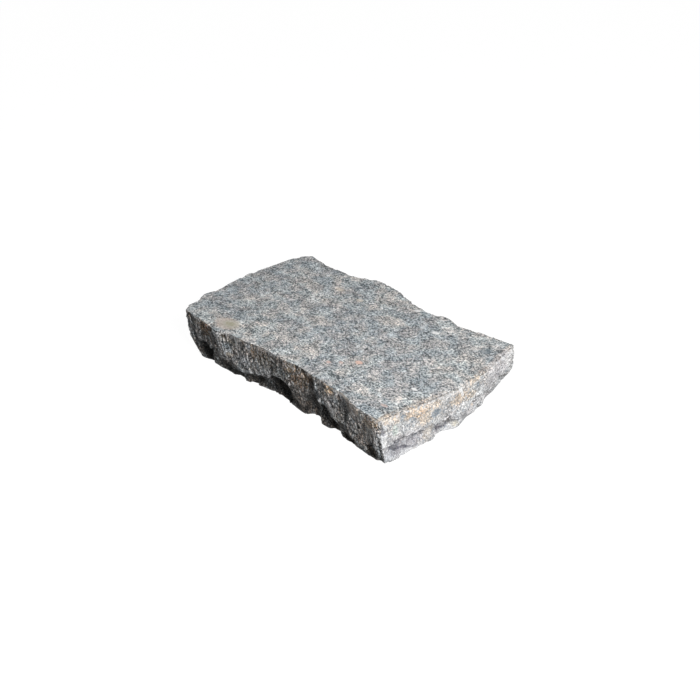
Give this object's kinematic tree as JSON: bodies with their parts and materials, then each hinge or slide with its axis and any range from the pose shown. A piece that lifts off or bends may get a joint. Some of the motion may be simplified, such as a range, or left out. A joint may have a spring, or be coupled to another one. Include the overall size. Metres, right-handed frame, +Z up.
{
  "type": "cobblestone",
  "caption": "Thin granite cobblestone with a flat worn top, wavy split sides that run in towards the bed, and a rough bed to lay on sand or mortar.",
  "frame": {"origin": "middle of the stone's outline, at the level floor that its bed lies on", "axes": "+X along the length, +Y across the width, +Z up through the thickness and out of the worn top"},
  "size_m": [0.2988, 0.1866, 0.047],
  "materials": {
    "granite": "worn flat top, rough split sides and bed"
  },
  "bodies": {
    "root": {"cobblestone": "granite"}
  },
  "joints": []
}
